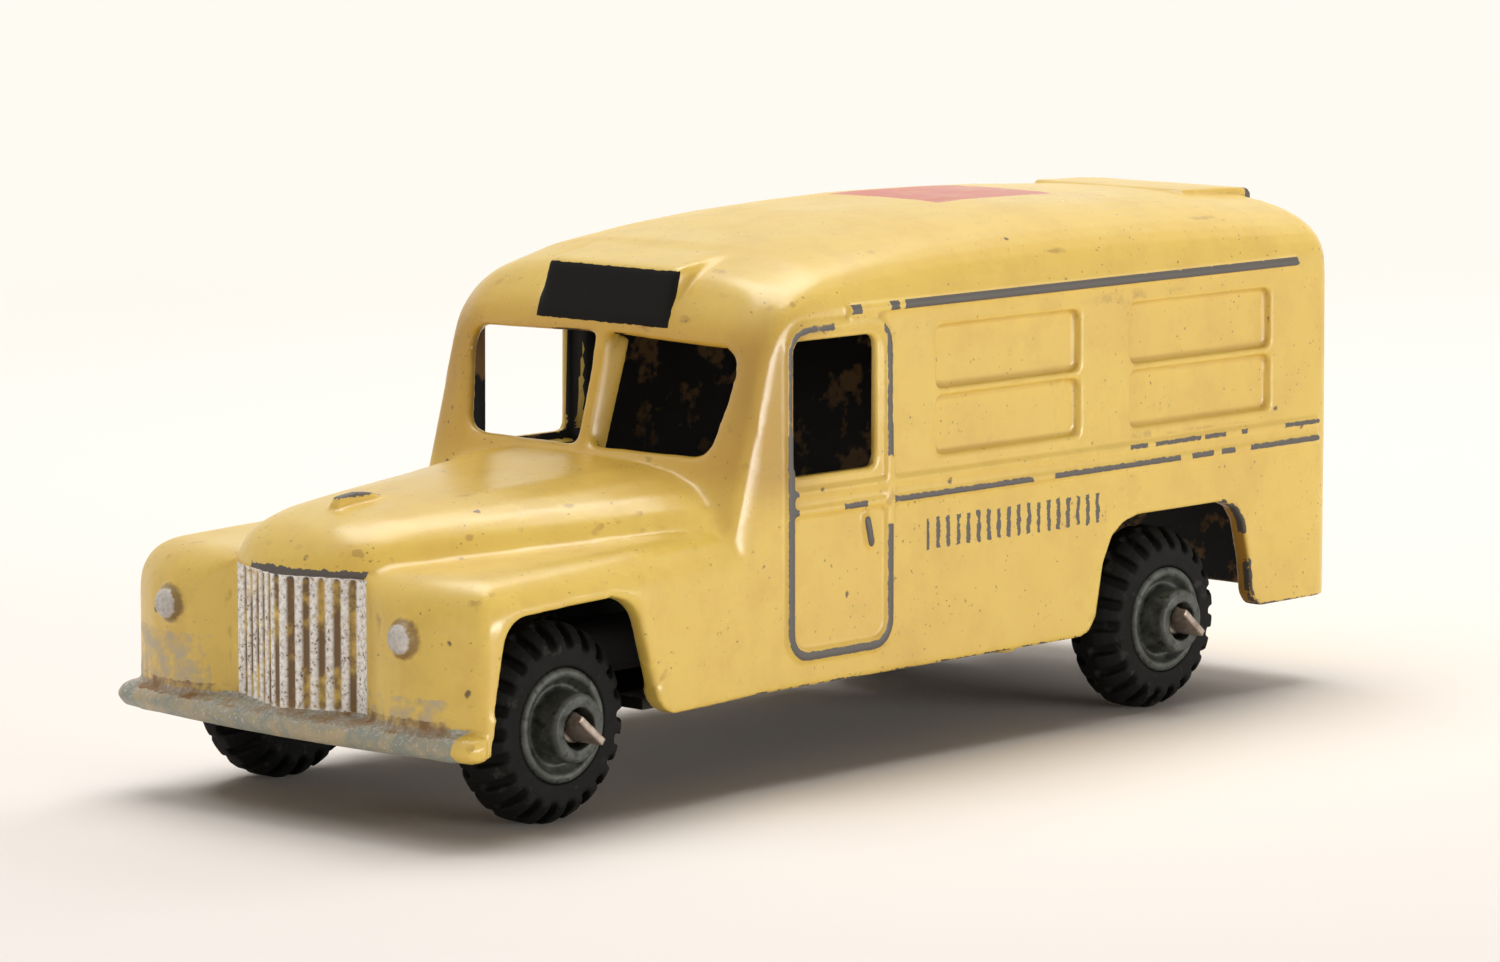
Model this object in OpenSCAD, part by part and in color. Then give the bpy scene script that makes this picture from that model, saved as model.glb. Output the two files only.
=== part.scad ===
// Toy ambulance: one die-cast body, a base plate, two wire axles, four hubs and four tyres.
// +X is the front of the vehicle, +Y its left side, +Z up; the tyres stand on z = 0.

/* [Overall] */
// Length over the bumper and the rear, mm
body_len = 96; // [80:0.5:120]
// Half width of the body at the belt, mm
half_w = 15.6; // [14:0.05:20]
// Height of the sill above the ground, mm
sill_z = 6.2; // [4:0.1:10]
// Thickness of the casting, mm
wall = 1.5; // [1:0.1:2.5]

/* [Roof and cab] */
// Height where the side turns into the roof, mm
shoulder_z = 31; // [26:0.1:34]
// How far the side leans in at the shoulder, mm
lean_in = 0.1; // [0:0.05:1.5]
// Highest point of the roof, mm
roof_z = 37.95; // [32:0.05:44]
// Front of the cab at the foot of the windscreen, mm
screen_x = 18.65; // [14:0.05:24]
// Foot of the windscreen, mm
screen_z = 22.3; // [18:0.1:26]
// Backward lean of the windscreen, mm per mm of height
screen_lean = 0.28; // [0:0.01:0.6]
// Plan radius of the rear corners, mm
corner_r = 2.5; // [1:0.1:6]

/* [Bonnet and wings] */
// Front of the wings at the lamps, mm
wing_x = 46.5; // [42:0.1:47]
// Half width over the wings, mm
wing_w = 17.35; // [15:0.05:20]
// Top of the wings at the front, mm
wing_z = 16.9; // [14:0.1:20]
// Top of the wings at the cab, mm
wing_back_z = 18.3; // [15:0.1:21]
// Tip of the bonnet nose, mm
nose_x = 47.2; // [44:0.1:48]
// Ridge of the grille, mm
grille_x = 47.4; // [44:0.1:48]
// Half width of the grille, mm
grille_w = 6.35; // [4:0.1:9]
// Sweep of each grille half, mm
grille_d = 2.5; // [0.5:0.1:4]
// Top of the grille, mm
grille_z = 16.4; // [13:0.1:19]
// Sideways place of each lamp, mm
lamp_y = 11.5; // [8:0.05:14]
// Height of the lamps, mm
lamp_z = 13.1; // [10:0.05:16]
// Radius of a lamp, mm
lamp_r = 1.45; // [1:0.05:2.5]

/* [Openings] */
// Door window, front edge, mm
win_x1 = 13.45; // [10:0.1:18]
// Door window, rear edge, mm
win_x0 = 4.8; // [3:0.1:10]
// Windows, lower edge, mm
win_z0 = 20.9; // [18:0.1:24]
// Windows, upper edge, mm
win_z1 = 30.2; // [26:0.1:33]
// Top of the wheel arches, mm
arch_z = 14.6; // [13.8:0.05:17]

/* [Running gear] */
// Front axle, mm from the middle
front_x = 35.3; // [30:0.05:42]
// Rear axle, mm from the middle
rear_x = -27.95; // [-34:0.05:-20]
// Radius of a tyre, mm
tyre_r = 6.8; // [5:0.05:9]
// Width of a tyre, mm
tyre_w = 4.6; // [3:0.05:6]
// Outer face of a tyre, mm inside the side of the body
tyre_in = 0.55; // [-1:0.05:3]
// Drop of a tyre's rounded shoulders, mm
shoulder = 1.3; // [0.5:0.05:2]
// Ground clearance added under the casting's own zero, mm
lift = 0.45; // [0:0.05:2]
// Tread blocks around one shoulder
tread_n = 22; // [12:1:30]
// Depth of the tread, mm
tread_d = 0.55; // [0.2:0.05:1]
// Radius of an axle wire, mm
axle_r = 1.05; // [0.7:0.05:1.5]
// Gap between a tyre and the ear beside it, mm
ear_gap = 0.75; // [0.4:0.05:2]
// Radius of a hub's bore, mm
bore_r = 1.4; // [1:0.05:2]

/* [Hidden] */
rear_end = 0.15 - body_len / 2;
tyre_y1 = half_w - tyre_in;
tyre_y0 = tyre_y1 - tyre_w;
ear_y = tyre_y0 - ear_gap - 0.6;
axle_z = tyre_r - lift;
lug_y = half_w - 3;
roof_keys = [[-48, 36.5], [-40, 37.05], [-30, 37.6], [-18, roof_z], [-5, 37.6], [3, 36.9], [9, 36.05], [14, 35.05], [20, 33.9]];
bonnet_keys = [[14, 22.1], [28, 21.1], [38, 20.55], [41, 20.3], [43, 19.9], [44.5, 19.4], [46, 18.5], [47.2, 17.1]];

// inset of a rounded end, d back from the end, over the depth D, by the radius r
function rnd(d, D, r) = d >= D ? 0 : r * (1 - sqrt(max(0, 1 - pow(1 - d / D, 2))));
function signed(v, e) = (v < 0 ? -1 : 1) * pow(abs(v), e);

// a closed skin over rings of points, flat at both ends
module loft(rings) {
    n = len(rings[0]);
    m = len(rings);
    pts = [for (r = rings) for (p = r) p];
    sides = [for (i = [0 : m - 2]) for (j = [0 : n - 1]) each [
        [i * n + j, (i + 1) * n + (j + 1) % n, (i + 1) * n + j],
        [i * n + j, i * n + (j + 1) % n, (i + 1) * n + (j + 1) % n]]];
    first = [for (j = [n - 1 : -1 : 0]) j];
    last = [for (j = [0 : n - 1]) (m - 1) * n + j];
    polyhedron(points = pts, faces = concat(sides, [first, last]), convexity = 12);
}

// cross-section of the van part, seen from the rear
function van_ring(x, s, w, zc, zs, zb, arc) = let (
    ws = w - lean_in,
    yz = concat([[-w, zb], [-w, 19]],
        [for (i = [0 : arc]) let (t = 180 - 180 * i / arc)
            [ws * signed(cos(t), 0.68), zs + (zc - zs) * pow(abs(sin(t)), 0.68)]],
        [[w, 19], [w, zb]]))
    [for (p = yz) [x - s * (screen_lean * (p[1] - screen_z) + 0.3 * max(0, abs(p[0]) - 12.9)), p[0], p[1]]];

// van part grown by o; its floor is at zb
function van_rings(o, zb, arc) = let (
    rear = [0, 0.08, 0.3, 0.7, 1.3, 1.9, 2.5],
    front = [4.5, 3.2, 2.2, 1.4, 0.8, 0.4, 0.1, 0],
    keys = concat(
        [for (d = rear) [rear_end - o + d, rnd(d, corner_r, corner_r), rnd(d, 2.5, 1.8)]],
        [for (x = [-38, -30, -23, -16, -9, -3, 3, 9]) [x, 0, 0]],
        [for (d = front) [screen_x + o - d, rnd(d, 1, 0.8), rnd(d, 4, 2.8)]]))
    [for (k = keys) van_ring(k[0], max(0, min(1, (k[0] - 9) / 9)), half_w + o - k[1],
        lookup(k[0], roof_keys) + o - k[2], shoulder_z - k[2], zb, arc)];

module van(o, zb, arc) {
    loft(van_rings(o, zb, arc));
}

// one side of the wings in plan, rear to front
wing_plan = [[10, half_w - 1], [14, half_w - 0.45], [17.6, half_w + 0.1], [22, 16.3], [28, 16.9], [34, 17.2], [41.2, wing_w], [43.7, wing_w - 0.05],
    [44.3, wing_w - 0.3], [44.7, wing_w - 0.8], [45.4, 15.2], [46.05, 13.7], [wing_x - 0.05, 12], [wing_x, 10.8],
    [46.3, 9.2], [45.8, 7.8], [45.1, 6.2]];

// the valley between the wings that takes the grille, and its plainer form inside the shell
module valley_2d(inside) {
    half = inside ? [[52, 16.4], [44.9, 9.6], [43.4, 6.2]]
        : [[52, 11.4], [wing_x, 10.9], [46.3, 9.2], [45.8, 7.8], [45.05, grille_w]];
    last = len(half) - 1;
    polygon(concat(half, [[inside ? 43.2 : 44.5, 0]], [for (i = [last : -1 : 0]) [half[i][0], -half[i][1]]]));
}

module wings(o, zb) {
    r = 3.1;
    last = len(wing_plan) - 1;
    intersection() {
        multmatrix([[1, 0, 0, 0], [0, 1, 0, 0], [(wing_z - wing_back_z) / 35, 0, 1, wing_back_z - 11 * (wing_z - wing_back_z) / 35]])
            hull() for (t = [-1, 0, 20, 40, 55, 70, 80, 90])
                translate([0, 0, t < 0 ? -25 : o + r * (sin(t) - 1) - 0.01]) linear_extrude(0.01)
                    offset(delta = o - (t < 0 ? 0 : r * (1 - cos(t))))
                        polygon(concat(wing_plan, [for (i = [last : -1 : 0]) [wing_plan[i][0], -wing_plan[i][1]]]));
        difference() {
            translate([0, -30, zb]) cube([60, 60, 30]);
            translate([0, 0, -10]) linear_extrude(40) valley_2d(o < 0);
        }
    }
}

// the bonnet: a tapered ridge that ends in the nose
function bonnet_ring(x, w, zc, zb) = concat([[x, -w, zb]],
    [for (i = [0 : 12]) let (t = 180 - 15 * i)
        [x, w * signed(cos(t), 0.66), 15 + (zc - 15) * pow(abs(sin(t)), 0.66)]],
    [[x, w, zb]]);

module bonnet(o, zb) {
    ends = [0, 0.15, 0.5, 1, 1.7, 2.6, 3.8, 6];
    keys = concat([for (x = [14, 20, 28, 36]) [x, 0]],
        [for (i = [7 : -1 : 0]) [nose_x + o - ends[i], rnd(ends[i], 3.8, 5.2)]]);
    difference() {
        loft([for (k = keys) bonnet_ring(k[0],
            lookup(k[0], [[14, 15.2], [18.7, 15], [44.5, 7], [47.2, 6.2]]) + o - k[1],
            lookup(k[0] - o, bonnet_keys) + o, zb)]);
        if (o >= 0) translate([44, -9, 0]) cube([6, 18, grille_z]);
    }
}

// flat outline in X and Z pushed through the whole width
module across(y0, y1) {
    translate([0, y1, 0]) rotate([90, 0, 0]) linear_extrude(y1 - y0) children();
}

// flat outline in Y and Z pushed along X
module along(x0, x1) {
    translate([x0, 0, 0]) rotate([90, 0, 90]) linear_extrude(x1 - x0) children();
}

module round_rect(x0, z0, x1, z1, r) {
    for (x = [x0 + r, x1 - r]) for (z = [z0 + r, z1 - r]) translate([x, z]) circle(r, $fn = 16);
    translate([x0 + r, z0]) square([x1 - x0 - 2 * r, z1 - z0]);
    translate([x0, z0 + r]) square([x1 - x0, z1 - z0 - 2 * r]);
}

module frame_2d(x0, z0, x1, z1, r, t) {
    difference() {
        round_rect(x0, z0, x1, z1, r);
        round_rect(x0 + t, z0 + t, x1 - t, z1 - t, max(0.2, r - t));
    }
}

// wheel arch outlines
module front_arch_2d() {
    polygon([[44.2, -1], [43.9, 6], [43.2, 9.6], [42.5, 13.1], [42, 13.9], [40.9, arch_z - 0.15],
        [32, arch_z + 0.15], [30.7, arch_z - 0.3], [29.9, 13.5], [28.7, 9.6], [27.9, 7.4], [27.3, 6.7], [26.1, sill_z - 0.1], [26.1, -1]]);
}

module rear_arch_2d() {
    polygon([[-17.25, -1], [-17.25, sill_z - 0.1], [-18.55, 6.5], [-19.35, 7.5], [-20.15, 11.4], [-21.15, 13.3],
        [-22.45, 14.2], [-24.15, arch_z], [-33.95, arch_z], [-35.55, 14], [-36.45, 12.9], [-37.25, 10], [-37.65, 7.2],
        [-38.25, 6.4], [-39.25, sill_z - 0.1], [-39.25, -1]]);
}

module pane_2d(s) {
    mirror([s < 0 ? 1 : 0, 0]) polygon([[0.76, 22.4], [10.7, 22.4], [11.5, 22.7], [12, 23.4], [13, 28],
        [12.9, 29], [12.1, 29.7], [1.1, 30], [0.76, 29.7]]);
}

// a blind window: two shallow panels with a bar between
module blind_2d(x0, x1) {
    round_rect(x0, win_z0 + 0.2, x1, 25.3, 0.6);
    round_rect(x0, 25.8, x1, win_z1 + 0.1, 0.6);
}

module blinds() {
    difference() {
        across(-30, 30) {
            blind_2d(-17.35, -1.6);
            blind_2d(-39.55, -23.1);
        }
        van(-0.55, -5, 12);
    }
    difference() {
        along(-60, -40) {
            round_rect(-9.4, 22.4, -1.6, 29.6, 0.7);
            round_rect(1.6, 22.4, 9.4, 29.6, 0.7);
        }
        van(-0.5, -5, 12);
    }
}

// raised lines on the sides and the rear doors
module ribs() {
    intersection() {
        van(0.28, sill_z, 12);
        union() {
            across(-30, 30) frame_2d(3.2, 8, 14.1, 31.4, 2, 0.7);
            translate([-45.4, -30, 18.2]) cube([58.8, 60, 0.45]);
            translate([-45.4, -30, 19.55]) cube([58.8, 60, 0.4]);
        }
    }
    intersection() {
        van(0.12, sill_z, 12);
        translate([-45.3, -30, 18.3]) cube([58.6, 60, 1.5]);
    }
    intersection() {
        van(0.15, sill_z, 12);
        along(-60, -40) {
            frame_2d(-11.4, 8.4, 0.25, 31.2, 1.5, 0.5);
            frame_2d(-0.25, 8.4, 11.4, 31.2, 1.5, 0.5);
        }
    }
    intersection() {
        van(0.5, sill_z, 12);
        translate([-42.7, -30, 31.76]) cube([50.4, 60, 0.68]);
    }
}

// half-round bar, bowed in plan
module bumper() {
    loft([for (q = [-1, -0.985, -0.95, -0.85, -0.7, -0.5, -0.25, 0, 0.25, 0.5, 0.7, 0.85, 0.95, 0.985, 1])
        let (y = (wing_w + 0.25) * q, e = abs(q) == 1 ? 0.35 : abs(q) > 0.98 ? 0.75 : 1, x = grille_x - 0.5 - 1.5 * pow(q, 2))
        [for (p = [[-1.2, -0.95], [-0.2, -0.95], [0.5, -0.75], [0.95, -0.3], [1.1, 0], [0.95, 0.3], [0.5, 0.75],
            [-0.2, 0.95], [-1.2, 0.95]]) [x + (p[0] + 0.2) * e - 0.2, y, 6.2 + p[1] * e]]]);
}

module grille() {
    pitch = 1.06;
    slope = grille_d / grille_w;
    translate([0, 0, 5.6]) linear_extrude(grille_z - 5) polygon([[grille_x - 0.35, 0], [grille_x - 0.35 - grille_d, grille_w],
        [42.5, grille_w], [42.5, -grille_w], [grille_x - 0.35 - grille_d, -grille_w]]);
    for (s = [-1, 1]) for (i = [0 : 5]) let (q = 0.42 + pitch * i)
        hull() {
            translate([grille_x - 0.42 - q * slope, s * q, 6.6]) cylinder(h = 0.2, r = 0.36, $fn = 8);
            translate([grille_x - 0.42 - q * slope, s * q, grille_z - 0.6]) cylinder(h = 0.2, r = 0.36, $fn = 8);
        }
}

module lamp(s) {
    translate([wing_x - 0.75, s * lamp_y, lamp_z]) rotate([0, 90, 0]) {
        cylinder(h = 1, r = lamp_r, $fn = 24);
        translate([0, 0, 1]) scale([1, 1, 0.72]) sphere(lamp_r - 0.08, $fn = 24);
    }
}

// wedge box over the windscreen and a lower one over the rear doors
module sign_box() {
    across(-6.4, 6.4) polygon([[16.37, 30.93], [15.15, 34.7], [14.6, 34.95], [4, 36.6], [4, 30.93]]);
    across(-7.3, 7.3) polygon([[rear_end + 0.35, 33.5], [rear_end + 0.35, 36.45], [rear_end + 0.75, 36.9], [rear_end + 3.85, 37.1],
        [rear_end + 8.85, 37.2], [rear_end + 8.85, 33.5]]);
}

module handles() {
    for (s = [-1, 1]) hull() {
        translate([5.95, s * half_w, 17.25]) sphere(0.42, $fn = 10);
        translate([5.55, s * half_w, 15.65]) sphere(0.42, $fn = 10);
    }
    for (s = [-1, 1]) hull() {
        translate([rear_end + 0.3, s * 1.2, 16.6]) sphere(0.45, $fn = 10);
        translate([rear_end + 0.3, s * 1.2, 14.6]) sphere(0.45, $fn = 10);
    }
}

// bonnet mascot: a low fin along the middle
module mascot() {
    hull() {
        translate([39.6, 0, 20.45]) rotate([90, 0, 0]) scale([1, 0.42, 1]) cylinder(h = 0.9, r = 2.4, $fn = 20, center = true);
    }
}

// post and lugs that hold the base plate, with their peened ends
module studs() {
    translate([23.5, 0, 7.05]) cylinder(h = 13.6, r = 1.9, $fn = 16);
    translate([23.5, 0, 5.7]) cylinder(h = 1.5, r = 0.95, $fn = 16);
    translate([23.5, 0, 5.6]) cylinder(h = 0.55, r1 = 1.2, r2 = 1.6, $fn = 16);
    for (s = [-1, 1]) {
        translate([-13.4, s > 0 ? lug_y - 1.6 : -lug_y - 2.4, 7.05]) cube([3.4, 4, 4]);
        translate([-11.7, s * lug_y, 5.7]) cylinder(h = 1.5, r = 0.95, $fn = 16);
        translate([-11.7, s * lug_y, 5.6]) cylinder(h = 0.55, r1 = 1.2, r2 = 1.6, $fn = 16);
    }
}

module body_casting() {
    color([0.87, 0.75, 0.42]) {
        difference() {
            union() {
                difference() {
                    van(0, sill_z, 24);
                    blinds();
                }
                ribs();
                wings(0, 5.5);
                bonnet(0, 13);
                grille();
                bumper();
                translate([43, -15.4, 5.2]) cube([2.85, 30.8, 1.8]);
                for (s = [-1, 1]) lamp(s);
                sign_box();
                handles();
                mascot();
            }
            van(-wall, -5, 12);
            wings(-wall, -5);
            bonnet(-wall, -5);
            across(-30, 30) {
                front_arch_2d();
                rear_arch_2d();
                round_rect(win_x0, win_z0, win_x1, win_z1, 0.7);
            }
            along(13.2, 26) {
                pane_2d(1);
                pane_2d(-1);
            }
            translate([2, -30, -1]) cube([24.8, 60, 1 + sill_z]);
            across(-half_w + 0.7, half_w - 0.7) round_rect(win_x0 - 0.9, win_z0 - 0.7, win_x1 + 0.2, win_z1 + 0.3, 0.8);
        }
        studs();
    }
}

// one ear in side view, from the axle at x to its root in the plate at x0
module ear_2d(x, x0) {
    translate([x, axle_z]) circle(1.95, $fn = 40);
    polygon([[x, axle_z - 1.95], [x0, sill_z + 0.1], [x0, sill_z + 2], [x, axle_z + 1.95]]);
}

// flat plate with an ear at each end of each axle
module base_plate() {
    color([0.08, 0.08, 0.08]) difference() {
        union() {
            translate([-18, wall - half_w + 0.15, sill_z]) cube([44.6, 2 * (half_w - wall) - 0.3, 0.8]);
            for (s = [-1, 1]) {
                across(s * ear_y - 0.6, s * ear_y + 0.6) {
                    ear_2d(rear_x, -13);
                    ear_2d(front_x, 22);
                }
            }
        }
        for (x = [front_x, rear_x]) translate([x, 20, axle_z]) rotate([90, 0, 0]) cylinder(h = 40, r = axle_r + 0.1, $fn = 32);
        translate([23.5, 0, 5]) cylinder(h = 4, r = 1.05, $fn = 24);
        for (s = [-1, 1]) translate([-11.7, s * lug_y, 5]) cylinder(h = 4, r = 1.05, $fn = 24);
    }
}

// wire with a flattened blade at both ends
module axle(x, turn) {
    e = tyre_y1 + 1;
    color([0.6, 0.58, 0.56]) translate([x, 0, tyre_r]) {
        rotate([90, 0, 0]) cylinder(h = 2 * e, r = axle_r, $fn = 32, center = true);
        for (s = [0, 1]) mirror([0, s, 0]) rotate([0, turn, 0]) hull() {
            translate([0, e - 0.7, 0]) rotate([-90, 0, 0]) cylinder(h = 0.1, r = axle_r - 0.15, $fn = 24);
            translate([-1.45, e + 0.95, -0.25]) cube([2.9, 0.85, 0.5]);
        }
    }
}

// hub profile about its axle: flange, dish, boss and bore
module hub(x, s) {
    f = tyre_y1;
    color([0.33, 0.35, 0.33]) translate([x, 0, tyre_r]) mirror([0, s < 0 ? 1 : 0, 0]) rotate([-90, 0, 0])
        rotate_extrude($fn = 64) polygon([[bore_r, f - 4.95], [2.3, f - 4.95], [2.3, f - 4.25], [3.4, f - 4.25], [3.4, f - 0.7], [3.9, f - 0.7],
            [3.9, f - 0.05], [3.7, f + 0.15], [3.3, f + 0.15], [3.05, f - 0.3], [2.75, f - 0.6], [2.5, f - 0.5],
            [2.35, f + 1.4], [2.15, f + 1.6], [bore_r, f + 1.6]]);
}

// one cut between two tread blocks, from the middle of the tread out over a shoulder
module tread_cut(z0, z1) {
    p = 360 / tread_n;
    w = 2 * tyre_r * sin(p / 2) * 0.38;
    translate([0, w / 2, 0]) rotate([90, 0, 0]) linear_extrude(w)
        polygon([[tyre_r - 0.5, z0], [tyre_r + 2, z0], [tyre_r + 2, z1], [tyre_r - tread_d - shoulder, z1]]);
}

// tyre: a round balloon section with its shoulders cut into two staggered rows of blocks
module tyre(x, s) {
    m = (tyre_y0 + tyre_y1) / 2;
    w = tyre_w / 2;
    p = 360 / tread_n;
    color([0.07, 0.07, 0.07]) translate([x, 0, tyre_r]) mirror([0, s < 0 ? 1 : 0, 0]) rotate([-90, 0, 0]) difference() {
        rotate_extrude($fn = 72) polygon(concat([[3, tyre_y0]],
            [for (a = [-1, -0.85, -0.62, -0.35, 0.35, 0.62, 0.85, 1]) [tyre_r - shoulder * pow(abs(a), 2.6) + (abs(a) < 0.4 ? 0.085 : 0), m + w * a]],
            [[3, tyre_y1]]));
        for (i = [0 : tread_n - 1]) {
            rotate([0, 0, i * p]) tread_cut(m + 0.3, tyre_y1 + 0.3);
            rotate([0, 0, (i + 0.5) * p]) tread_cut(m - 0.3, tyre_y0 - 0.3);
        }
        translate([0, 0, 8]) cylinder(h = 10, r = 3.43, $fn = 48);
        translate([0, 0, tyre_y1 - 0.75]) cylinder(h = 4, r = 3.93, $fn = 48);
    }
}

translate([0, 0, lift]) body_casting();
translate([0, 0, lift]) base_plate();
axle(front_x, -40);  // front_axle
axle(rear_x, -40);  // rear_axle
hub(front_x, 1);  // front_left_hub
hub(front_x, -1);  // front_right_hub
hub(rear_x, 1);  // rear_left_hub
hub(rear_x, -1);  // rear_right_hub
tyre(front_x, 1);  // front_left_tyre
tyre(front_x, -1);  // front_right_tyre
tyre(rear_x, 1);  // rear_left_tyre
tyre(rear_x, -1);  // rear_right_tyre
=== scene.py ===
import math

import bpy
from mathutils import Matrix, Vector
from mathutils.bvhtree import BVHTree


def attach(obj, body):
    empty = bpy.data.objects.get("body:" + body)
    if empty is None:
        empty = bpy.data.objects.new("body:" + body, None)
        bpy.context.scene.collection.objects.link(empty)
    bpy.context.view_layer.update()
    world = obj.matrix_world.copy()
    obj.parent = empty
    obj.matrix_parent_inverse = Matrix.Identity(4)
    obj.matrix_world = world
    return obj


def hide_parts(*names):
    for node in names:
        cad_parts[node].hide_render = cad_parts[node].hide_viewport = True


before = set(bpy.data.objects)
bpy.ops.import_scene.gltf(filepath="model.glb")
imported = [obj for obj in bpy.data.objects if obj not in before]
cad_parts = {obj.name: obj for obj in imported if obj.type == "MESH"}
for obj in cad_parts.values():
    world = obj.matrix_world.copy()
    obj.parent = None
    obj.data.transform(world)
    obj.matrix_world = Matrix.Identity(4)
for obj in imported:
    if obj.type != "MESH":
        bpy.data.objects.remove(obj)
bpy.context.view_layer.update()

bl_info = {
    "name": "Die-cast toy ambulance",
    "version": (1, 0, 0),
    "blender": (4, 5, 0),
    "location": "View3D > Sidebar > Toy ambulance",
    "description": "Soft enamelled casting, rubber tyres and worn finishes of a toy ambulance",
    "category": "Object",
}

MM = 0.001
WHEELS = ("front_left", "front_right", "rear_left", "rear_right")

# the photograph's camera, solved from the toy's own straight edges
CAMERA_AZIMUTH = 133.1587
CAMERA_ELEVATION = 7.4824
CAMERA_TARGET = (18.206, 16.051, 21.646)
CAMERA_DISTANCE = 395.416
CAMERA_LENS = 139.48

# soft boxes and fills: place, width and height in metres, watts, and whether the enamel mirrors them;
# the paper goes plain between two distances from the toy
LIGHTS = (
    ("top_box", (-0.15, -0.13, 0.6), 0.46, 0.46, 2.9, True),
    ("top_front_fill", (0.2, -0.13, 0.6), 0.46, 0.46, 1.1, False),
    ("top_rear_fill", (-0.72, -0.1, 0.45), 0.46, 0.46, 2.5, False),
    ("side_box", (-0.2, 0.7, 0.06), 0.6, 0.11, 2.95, True),
    ("front_fill", (0.75, 0.1, 0.06), 0.5, 0.11, 1.1, False),
)
LIGHTS_AIM = (0.0, 0.0, 0.015)
ROOM_STRENGTH = 0.12
PAPER_FADE = (0.12, 0.4)

# raised lines on the casting and the runs of them that are rubbed bare, mm
SIDE_Y = 15.6
BELT_Z = 19.45
LOWER_RIB = (18.5, 19.25)
UPPER_RIB = (19.8, 20.55)
RIB_BAND = (17.0, 21.0)
LOWER_RIB_RUN = (-46.0, 3.2)
LOWER_RIB_GAPS = ((-14.2, -11.8), (-29.9, -28.6), (-33.4, -32.5), (-36.9, -35.1))
UPPER_RIB_WORN = ((-24.8, -22.7), (-31.0, -25.6), (-34.0, -31.4), (-36.5, -35.8), (-46.0, -41.0))
GUTTER_Z = (32.2, 32.86)
GUTTER_EDGE = (15.62, 17.0)
GUTTER_WORN = ((-43.0, 2.1), (2.7, 3.6), (6.6, 7.6))
DOOR_WORN = (
    ((13.0, 14.5), (8.0, 31.9)),
    ((9.4, 14.5), (31.0, 32.2)),
    ((2.8, 14.5), (8.0, 10.4)),
    ((2.8, 4.2), (22.0, 31.4)),
    ((2.8, 4.2), (8.0, 17.2)),
    ((6.0, 8.4), LOWER_RIB),
)
HANDLE = ((4.9, 6.6), (15.6, 18.0))
TICK_ROW = ((-20.2, -0.5), (14.95, 17.15), (14.6, 17.0))
TICK_PITCH = 1.1

# other places with their own paint, wear or dirt, a painted shadow under the bonnet's lip and a painted
# highlight along the bumper's crest, mm
ARCH_WORN = ((-39.5, -34.0), (12.4, 15.6))
ARCH_FOOT_WORN = ((-40.5, -36.5), (5.0, 10.4))
ARCH_DIRTY = ((-41.0, -34.5), (5.2, 15.4))
SILL_WORN = ((-46.0, 22.0), (5.0, 6.8))
ORNAMENT_WORN = ((37.0, 42.5), (-1.0, 0.7), (21.25, 23.0))
ROOF_BOX_END = ((-48.5, -46.6), (5.4, 9.0), (35.4, 39.0))
ROOF_PANEL = ((-26.0, -13.0), (-5.5, 5.5))
ROOF_PANEL_Z = 36.4
SIGN = ((-6.45, 6.45), (31.25, 35.1))
SIGN_LEAN = 0.3236
SIGN_FACE = 26.2
GRILLE = ((43.0, 49.0), (-6.15, 6.75), (7.8, 16.75))
GRILLE_LIP_SHADOW = ((44.2, 49.0), (-2.8, 6.4), (16.55, 17.3))
GRILLE_RAKE = 0.394
RIB_TOP = (47.12, 47.24)
BUMPER = ((44.2, 49.0), (-18.0, 16.1), (5.2, 7.85))
BUMPER_SHELF = ((43.0, 47.7), (-1.0, 15.8), (7.3, 8.3))
BUMPER_CREST_HIGHLIGHT = (6.9, 7.5)
LEFT_WING_SCUFFED = ((44.0, 48.0), (7.0, 15.6), (7.0, 9.7))
RIGHT_WING_SCUFFED = ((43.0, 48.0), (-17.0, -8.0), (7.0, 11.6))

# small forms finished on the casting, in mm and shares: lamps, bonnet ornament and windscreen bar
LAMP_X = 46.0
LAMP_Y = 11.5
LAMP_Z = 13.55
LAMP_SCALE = (0.85, 0.84, 0.84)
ORNAMENT_PLACE = (39.7, 0.0, 20.9)
ORNAMENT_SCALE = (0.92, 0.85, 0.66)
BAR_PLACE = (16.2, 0.0, 26.2)
BAR_SIZE = (2.4, 1.1, 8.7)
BAR_LEAN = 0.315
BAR_NARROW = 0.74
BAR_FOOT_OUT = 0.4

# the hollow of the casting, mm, and the rays that tell which faces look into it
HOLLOW_X = (-47.5, 45.0)
HOLLOW_Y = 15.4
HOLLOW_FOOT_Z = 6.65
HOLLOW_FRONT = 44
RAYS = 18
FIRST_TURN = 0.7
GOLDEN_TURN = 2.399
RAY_LENGTH = 0.1
RAY_LIFT = 2e-5
INNER_HITS = 15

# triangles that the smaller pieces may keep
AXLE_FACES = 40000
HUB_FACES = 50000
TYRE_FACES = 90000


def linear(text):
    """A hex sRGB colour as linear RGBA."""
    out = []
    for i in (1, 3, 5):
        c = int(text[i:i + 2], 16) / 255
        out.append(c / 12.92 if c <= 0.04045 else ((c + 0.055) / 1.055) ** 2.4)
    return (*out, 1.0)


def tint(name, description, text):
    """A colour property whose default is a hex sRGB colour."""
    return bpy.props.FloatVectorProperty(
        name=name, description=description, default=linear(text), size=4, min=0.0, max=1.0, subtype="COLOR")


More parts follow.
